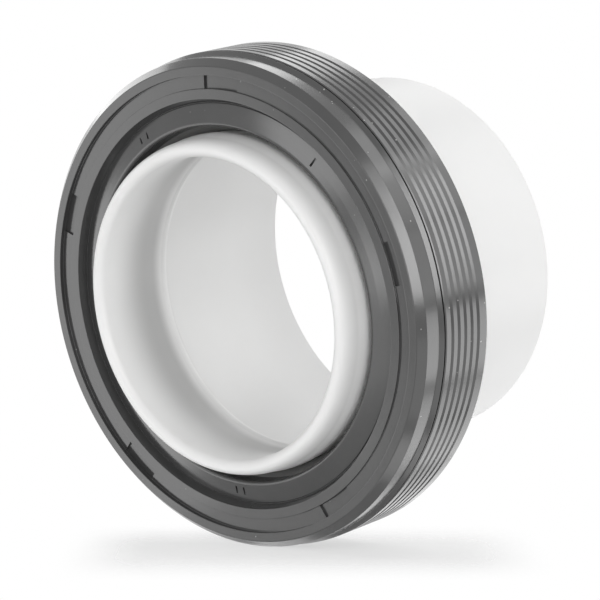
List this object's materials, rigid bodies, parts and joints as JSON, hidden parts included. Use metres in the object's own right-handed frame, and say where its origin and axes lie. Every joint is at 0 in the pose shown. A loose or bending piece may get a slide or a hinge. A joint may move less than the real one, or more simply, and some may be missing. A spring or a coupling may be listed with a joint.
{
  "type": "radial shaft seal on mounting sleeve",
  "caption": "Rubber-covered radial shaft seal with ribbed outside and a formed low-friction lip, carried on a flared white plastic mounting sleeve.",
  "frame": {"origin": "centre of the mounting sleeve's rear end face", "axes": "+Z along the seal's axis towards the leading face; -Y through the middle of one support pocket"},
  "size_m": [0.062, 0.062, 0.0375],
  "materials": {
    "black_rubber": "satin moulded",
    "case_steel": "phosphated",
    "lip_polymer": "waxy",
    "sleeve_plastic": "smooth moulded"
  },
  "bodies": {
    "root": {"seal_body": "black_rubber", "stiffening_case": "case_steel", "sealing_lip": "lip_polymer", "mounting_sleeve": "sleeve_plastic"}
  },
  "joints": []
}
